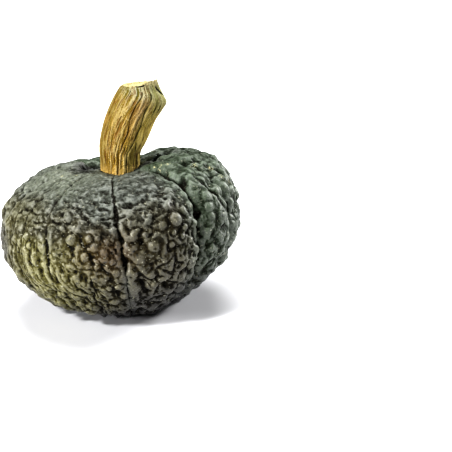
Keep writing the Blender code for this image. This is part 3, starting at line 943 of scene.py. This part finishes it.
# Its grooves: width and depth in mm, and then a path of angles in degrees, from the right
# edge by way of the front, and levels. The first is the slit beside the torn tip.
STALK_GROOVES = (
    (1.2, 3.6, (38, 10.3), (22, 9.7), (6, 9.1)),
    (1.0, 1.5, (147, 6.5), (146, 5), (144, 4), (138, 2.5), (136, 0.8)),
    (1.2, 1.7, (116, 5.4), (120, 4), (121, 2.5), (122, 0.8)),
    (1.0, 1.3, (123, 9.2), (126, 7.2)),
    (1.0, 1.6, (101, 5), (105, 3.3), (107, 1.5)),
    (1.4, 1.9, (91, 9.4), (96, 7), (94, 5.5), (87, 4.2), (93, 2.3), (97, 0.9)),
    (1.8, 2.4, (68, 9.3), (70, 6.6), (62, 4.9), (65, 3.3), (71, 2), (72, 0.8)),
    (1.3, 1.9, (51, 8.2), (45, 6.5), (39, 5.4), (40, 3.8), (37, 2), (36, 0.8)),
    (1.0, 1.4, (36, 7.6), (30, 6), (27, 4.5), (26, 2)),
    (0.9, 1.3, (58, 3.4), (47, 2.1), (47, 0.9)),
    (1.1, 1.4, (22, 6.8), (16, 4), (14, 1)),
    (0.8, 1.3, (133, 4.4), (130, 2.4), (129, 0.9)),
    (1.0, 1.3, (160, 7), (158, 4), (155, 1)),
    (0.9, 1.1, (170, 6), (168, 2)),
    (1.3, 1.9, (186, 8.5), (184, 5), (182, 1)),
    (1.0, 1.4, (203, 8), (200, 4), (198, 1)),
    (1.4, 2.1, (220, 9), (216, 5), (213, 1)),
    (1.1, 1.5, (238, 8), (234, 4.5), (232, 1)),
    (1.4, 2.2, (255, 9), (252, 5), (249, 1)),
    (1.0, 1.4, (274, 7.5), (270, 4), (268, 1)),
    (1.4, 2.1, (291, 9), (288, 5), (286, 1)),
    (1.1, 1.5, (309, 8), (306, 4), (304, 1)),
    (1.3, 2.0, (327, 8.6), (324, 5), (321, 1)),
    (1.1, 1.6, (345, 8), (341, 4), (338, 1)),
    (1.2, 1.7, (362, 7.6), (358, 4), (355, 1)),
)
# Each is a narrow slit with low flanks, drawn at a share of its width and depth, with a
# dark line that comes and goes in streaks. Streaks have a width and a length.
GROOVE_NARROWING = 0.55
GROOVE_SHALLOWING = 0.4
GROOVE_SLIT = 0.7
FLANK_WIDTH = 3.4
FLANK_SHARE = 0.3
LINE_WIDTH = 0.8
LINE_STRENGTH = 0.62
LINE_CHANGE = 0.9
LINE_STREAKS = (5 * MM, 7 * MM)
# Fine ribs, by their width, length and height, and dark threads sunk between them, which
# break off where a noise is low.
STRIAE = ((2.4 * MM, 26 * MM, 0.7 * MM), (1.3 * MM, 11 * MM, 0.5 * MM))
THREAD_STREAKS = (3.4 * MM, 26 * MM)
THREAD_DEPTH = 0.5 * MM
THREAD_FINENESS = 0.09
THREAD_BREAKS = (-0.25, 0.15)
BREAK_STREAKS = (5 * MM, 9 * MM)
# The corky patch, the rib that ends in a bulge, and the crack in the cut: angle and width
# in degrees, and level and height in levels.
CORKY_PATCH = (80, 14, 6.4, 2.6)
RIB_END = (16, 14, 8.4, 0.9)
CRACK = (94, 20, 10.68, 0.15)
RIB_END_HEIGHT = 1.6 * MM
CELL_SIZE = 2.6 * MM
CELL_HEIGHT = 0.45 * MM
# The foot flares and is crumbly, up to these levels.
FOOT_LEVELS = (0.7, 1.7)
FOOT_FLARE = 1.2 * MM
CRUMB_SIZE = 2.6 * MM
CRUMB_HEIGHT = 1.1 * MM
# The torn tip rises over the last levels and is frayed. The rim is toothed, and the cut
# has fibres. Its rings go inwards from the rim: how far out each is, and how deep it
# sinks in mm.
TIP_ANGLE = 34
TIP_WIDTH = 48
TIP_HEIGHT = 3.0 * MM
TIP_LEVELS = 0.7
FRAY_STREAKS = (3 * MM, 1 * MM)
FRAY_SHARE = 0.5
TOOTH_STREAKS = (2.5 * MM, 1 * MM)
TOOTH_HEIGHT = 0.5 * MM
FIBRE_SIZE = 3 * MM
FIBRE_HEIGHT = 0.5 * MM
CUT_RINGS = ((0.94, 0.8), (0.86, 1.6), (0.7, 1.8), (0.5, 1.6), (0.3, 1.5), (0.12, 1.7))

# A smooth curve runs through the levels' edges, four levels at a time.
levels = np.array([(*left, *right, depth) for left, right, depth in STEM_LEVELS]) * MM
heights = np.linspace(0, len(levels) - 1, (len(levels) - 1) * STEPS_PER_LEVEL + 1)
first = np.minimum(heights.astype(int), len(levels) - 2)
share = (heights - first)[:, None]
before, start, end, after = [
    levels[np.clip(first + step, 0, len(levels) - 1)] for step in (-1, 0, 1, 2)
]
bend = 2 * before - 5 * start + 4 * end - after
twist = 3 * (start - end) + after - before
rows = start + 0.5 * share * (end - before + share * (bend + share * twist))
left = np.stack((rows[:, 0], 0 * rows[:, 0], rows[:, 1]), axis=1)
right = np.stack((rows[:, 2], 0 * rows[:, 2], rows[:, 3]), axis=1)
middle = (left + right) / 2 + BODY_CENTRE
half_width = (right - left) / 2
half_depth = rows[:, 4]
run = np.append(0, np.cumsum(np.linalg.norm(np.diff(middle, axis=0), axis=1)))
degrees = np.arange(STALK_COLUMNS) * 360 / STALK_COLUMNS
angles = np.radians(degrees)


def groove_distance(path):
    """Distance, in metres, of each point of the stem from a path of angles and levels."""
    path = np.array(path)
    across = np.radians(path[:, 0]) * STALK_RADIUS
    along = np.interp(path[:, 1], heights, run)
    around = np.radians(path[0, 0] + degrees_from(degrees, path[0, 0])) * STALK_RADIUS
    nearest = np.full((len(run), len(around)), 1.0)
    for x, y, next_x, next_y in zip(across, along, across[1:], along[1:]):
        step = np.array((next_x - x, next_y - y))
        to_x = around[None, :] - x
        to_y = run[:, None] - y
        part = np.clip((to_x * step[0] + to_y * step[1]) / (step @ step), 0, 1)
        nearest = np.minimum(nearest, np.hypot(to_x - part * step[0], to_y - part * step[1]))
    return nearest


def streaks_round(size, length, offset=0):
    """Noise over the stem in streaks along it, as wide and as long as asked."""
    rows = []
    ring = STALK_RADIUS / size * np.stack((np.cos(angles), np.sin(angles)), axis=1)
    for height in run / length + offset:
        rows.append([noise.noise(Vector((x, y, height))) for x, y in ring])
    return np.array(rows)


def round_stem(angle, width):
    """1 round an angle, for each column of the stem."""
    return bell(degrees_from(degrees, angle), width)[None, :]


def spot(place):
    """1 round an angle and a level of the stem."""
    angle, width, level, tall = place
    return round_stem(angle, width) * bell(heights - level, tall)[:, None]


furrow = np.zeros((len(run), STALK_COLUMNS))
sunk = np.zeros_like(furrow)
for width, depth, *path in STALK_GROOVES:
    away = groove_distance(path) / (GROOVE_NARROWING * width * MM)
    wavering = LINE_STRENGTH + LINE_CHANGE * streaks_round(*LINE_STREAKS, offset=width)
    furrow = np.maximum(furrow, bell(away, LINE_WIDTH) * np.clip(wavering, 0, 1))
    profile = bell(away, GROOVE_SLIT) + FLANK_SHARE * bell(away, FLANK_WIDTH)
    sunk = np.maximum(sunk, GROOVE_SHALLOWING * depth * MM * profile)
striae = 0
for size, length, depth in STRIAE:
    striae = striae + depth * streaks_round(size, length)
threads = bell(streaks_round(*THREAD_STREAKS, offset=5), THREAD_FINENESS)
threads *= smooth_step(*THREAD_BREAKS, streaks_round(*BREAK_STREAKS, offset=9))
sunk = np.maximum(sunk, THREAD_DEPTH * threads)
foot = 1 - smooth_step(*FOOT_LEVELS, heights)[:, None]
crumbs = streaks_round(CRUMB_SIZE, CRUMB_SIZE) * foot
corky = spot(CORKY_PATCH)
cork = np.abs(streaks_round(CELL_SIZE, CELL_SIZE)) - 0.2
swell = striae + crumbs * CRUMB_HEIGHT + foot * FOOT_FLARE + RIB_END_HEIGHT * spot(RIB_END) - sunk
swell += cork * CELL_HEIGHT * (0.3 + 0.7 * corky)
grow = 1 + swell / half_depth[:, None]
grid = middle[:, None] + half_width[:, None] * (np.cos(angles) * grow)[:, :, None]
grid[:, :, 1] -= half_depth[:, None] * np.sin(angles) * grow

frayed = 1 + FRAY_SHARE * streaks_round(*FRAY_STREAKS)[-1]
tip = TIP_HEIGHT * bell(degrees_from(degrees, TIP_ANGLE) ** 2, TIP_WIDTH ** 2) * frayed
tip += TOOTH_HEIGHT * streaks_round(*TOOTH_STREAKS, offset=3)[-1]
grid[:, :, 2] += bell(heights - heights[-1], TIP_LEVELS)[:, None] * tip[None, :]
rings = list(grid)
for reach, sink in CUT_RINGS:
    fibres = FIBRE_HEIGHT * noise_over(rings[-1], FIBRE_SIZE, 2)
    ring = middle[-1] + (grid[-1] - middle[-1]) * reach
    ring[:, 2] = middle[-1][2] + (ring[:, 2] - middle[-1][2]) * reach - sink * MM + fibres
    rings.append(ring)

bm = bmesh.new()
rings = [[bm.verts.new(point) for point in ring] for ring in rings]
for lower, upper in zip(rings, rings[1:]):
    for column in range(len(lower)):
        after_it = (column + 1) % len(lower)
        bm.faces.new((lower[column], upper[column], upper[after_it], lower[after_it]))
bm.faces.new(rings[-1])
bm.faces.new(rings[0])
bmesh.ops.recalc_face_normals(bm, faces=bm.faces)
stalk, stalk_mesh = add_built("dry_stalk", bm)
stalk_mesh.shade_smooth()

# Its right side is greener and painted lighter as painted light, with a strip at the front
# of its upper part, and its left side is painted darker as painted shade. A side has its
# angle, and how far from that, in degrees, it begins and is whole. The slit and the crack
# carry painted shadow, the latter in the rings of the cut too.
PAINTED_LIGHT_SIDE = (20, 75, 35)
SHADED_SIDE = (180, 80, 20)
PAINTED_LIGHT_STRIP = (67, 9)
UPPER_LEVELS = (4, 9.5)
CUT_LEVELS = (10.2, 10.9)
WAIST_LEVEL = 4.6
WAIST_HEIGHT = 2.2
SLIT_SHADOW = 0.9 * MM
CRACK_RING = 1.3
CRACK_RINGS = 0.7


def over_stalk(values, on_cut):
    """One number for each corner of the stalk: those of its side, and those of the cut."""
    rest = np.broadcast_to(on_cut, (len(CUT_RINGS), STALK_COLUMNS))
    return np.concatenate((np.broadcast_to(values, furrow.shape).ravel(), rest.ravel()))


def side_of_stem(place):
    """1 on one side of the stem, fading out at its edges."""
    angle, edge, full = place
    return smooth_step(edge, full, np.abs(degrees_from(degrees, angle)))[None, :]


upper_part = smooth_step(*UPPER_LEVELS, heights)[:, None]
# The right side and the strip carry painted light.
painted_light_side = np.maximum(side_of_stem(PAINTED_LIGHT_SIDE), round_stem(*PAINTED_LIGHT_STRIP) * upper_part)
# The slit and the crack carry painted shadow.
slit = bell(groove_distance(STALK_GROOVES[0][2:]), SLIT_SHADOW)
crack = round_stem(*CRACK[:2]) * bell(np.arange(len(CUT_RINGS))[:, None] - CRACK_RING, CRACK_RINGS)
store(
    stalk_mesh,
    furrow=over_stalk(furrow, 0),
    threads=over_stalk(threads, 0),
    striae=over_stalk(striae / MM, 0.2),
    green=over_stalk(painted_light_side, 0),
    upper=over_stalk(upper_part, 1),
    left_side=over_stalk(side_of_stem(SHADED_SIDE), 0),
    waist=over_stalk(bell(heights - WAIST_LEVEL, WAIST_HEIGHT)[:, None], 0),
    foot=over_stalk(foot, 0),
    cork=over_stalk(corky, 0),
    slit=over_stalk(np.maximum(slit, spot(CRACK)), crack),
    cut=over_stalk(smooth_step(*CUT_LEVELS, heights)[:, None], 1),
)

# The stem's finish: matt corky straw. Its colours come in pairs, for its lower part and its
# upper one, which is greener and greyer, and the cut's in a pair for its grain.
DARK_STRAW = (shade(138, 110, 26), shade(92, 86, 30))
PALE_STRAW = (shade(188, 168, 114), shade(152, 150, 124))
# Greener straw, lighter as painted light, for the right side.
PAINTED_LIGHT_STRAW = (shade(206, 188, 104), shade(150, 150, 104))
CUT_CREAM = (shade(156, 145, 104), shade(174, 165, 128))
WAIST_BROWN = shade(98, 86, 38)
# Painted shade on the stem's left side.
SHADED_BROWN = shade(100, 86, 36)
BLOTCH_TAN = shade(166, 138, 84)
CORK_TAN = shade(146, 120, 88)
FOOT_CREAM = shade(202, 172, 106)
BROWN_FURROW = shade(90, 62, 8)
GREEN_FURROW = shade(54, 56, 10)
UPPER_FURROW = shade(50, 50, 12)
THREAD_BROWN = shade(96, 62, 6)
# Painted shadow in the slit and the crack.
PAINTED_SLIT_SHADOW = shade(14, 12, 4)
STRAW_GRAIN = 1.2 * MM
STRAW_BLOTCHES = (6 * MM, 3, (1, 1, 0.4))
STRAW_BUMP = 1.6 * MM
STRAW_TONES = (0.1, 0.9)
BLOTCH_EDGE = (0.5, 0.75)
FURROW_EDGE = (0.1, 0.6)
CREAM_GRAIN = (0.35, 0.65)
SLIT_EDGE = (0.2, 0.7)


def stalk_finish(material):
    straw = Finish(material)
    grain = straw.speckle(STRAW_GRAIN, 3)
    blotches = straw.speckle(*STRAW_BLOTCHES).between(*BLOTCH_EDGE)
    upper = straw.stored("upper")
    green = straw.stored("green")
    tone = straw.stored("striae") * 2.2 + (grain - 0.5) * 3.0 + 0.5
    dark = straw.blend(upper, *DARK_STRAW)
    pale = straw.blend(upper, *PALE_STRAW)
    line = straw.blend(green, BROWN_FURROW, GREEN_FURROW)
    line = straw.blend(upper * 0.8, line, UPPER_FURROW)
    # Over the straw lie painted shade on the left side, painted light on the right side, and
    # painted shadow in the slit and the crack.
    colour = straw.layered(
        straw.blend(tone.between(*STRAW_TONES), dark, pale),
        (straw.stored("waist") * (1 - green) * 0.4, WAIST_BROWN),
        (straw.stored("left_side") * 0.72, SHADED_BROWN),
        (blotches * 0.4, BLOTCH_TAN),
        (green * 0.55, straw.blend(upper, *PAINTED_LIGHT_STRAW)),
        (straw.stored("cork") * 0.55, CORK_TAN),
        (straw.stored("foot") * 0.7, FOOT_CREAM),
        (straw.stored("threads") * 0.75, THREAD_BROWN),
        (straw.stored("furrow").between(*FURROW_EDGE) * 0.9, line),
        (straw.stored("cut"), straw.blend(grain.between(*CREAM_GRAIN), *CUT_CREAM)),
        (straw.stored("slit").between(*SLIT_EDGE), PAINTED_SLIT_SHADOW),
    )
    straw.set(Base_Color=colour, Roughness=grain * 0.2 + 0.65, Specular_IOR_Level=0.1)
    straw.set(Normal=straw.relief(grain, STRAW_BUMP))
    return material


stalk_mesh.materials.append(stalk_finish(bpy.data.materials.new("dry_straw")))
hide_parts("stem")
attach(stalk, "root")

# The table top: a plain white floor that reaches past the picture's edges. It only holds
# the fruit up, so it is stage, and no piece of the object.
FLOOR_SIZE = 40.0
FLOOR_WHITE = shade(202, 202, 204)
bm = bmesh.new()
bmesh.ops.create_grid(bm, x_segments=1, y_segments=1, size=FLOOR_SIZE / 2)
floor, floor_mesh = add_built("table_top", bm)
floor_mesh.materials.append(bpy.data.materials.new("white_table"))
white = Finish(floor_mesh.materials[0])
white.set(Base_Color=FLOOR_WHITE, Roughness=0.6, Specular_IOR_Level=0.2)

# The light: four soft lamps, far away, from the left, the right and above, each with its
# name, power, softness, azimuth and height angle in degrees. The white room adds a weak
# glow, and only the camera sees it at full strength. The gamma deepens the shadows.
LAMPS = (
    ("left_window", 3.9, 14, -70, 14),
    ("left_soft_box", 5.4, 8, -50, 42),
    ("right_soft_box", 5.4, 16, 116, 24),
    ("ceiling", 5.2, 36, 170, 72),
)
ROOM_WHITE = (0.95, 0.97, 1.0, 1.0)
ROOM_GLOW = 0.12
VIEW_GAMMA = 0.75

for name, power, softness, lamp_azimuth, lamp_height in LAMPS:
    light = bpy.data.lights.new(name, "SUN")
    light.energy = power
    light.angle = math.radians(softness)
    toward = Vector(unit_vectors(np.array([lamp_azimuth]), np.array([lamp_height]))[0])
    add_object(name, light).rotation_euler = toward.to_track_quat("Z", "Y").to_euler()
room = bpy.data.worlds.new("white_room")
walls = Finish(room, "Background")
seen_by_camera = walls.node("ShaderNodeLightPath", {}, {})
walls.set(Color=ROOM_WHITE, Strength=seen_by_camera * (1 - ROOM_GLOW) + ROOM_GLOW)
bpy.context.scene.world = room
bpy.context.scene.view_settings.view_transform = "Standard"
bpy.context.scene.view_settings.gamma = VIEW_GAMMA

# The camera: in front of the fruit and a little above, turned so that the fruit stands at
# the left.
CAMERA_BACK = 765.04 * MM
CAMERA_UP = 233.90 * MM
CAMERA_TURN = math.radians(-7.352)
CAMERA_DOWN = math.radians(17.472)
CAMERA_SENSOR = 36
CAMERA_LENS = 67.18
camera = add_object("camera", bpy.data.cameras.new("camera"))
camera.data.sensor_width = CAMERA_SENSOR
camera.data.lens = CAMERA_LENS
turned = Matrix.Rotation(CAMERA_TURN, 4, "Z") @ Matrix.Rotation(math.pi / 2 - CAMERA_DOWN, 4, "X")
camera.matrix_world = Matrix.Translation(BODY_CENTRE + (0, -CAMERA_BACK, CAMERA_UP)) @ turned
bpy.context.scene.camera = camera
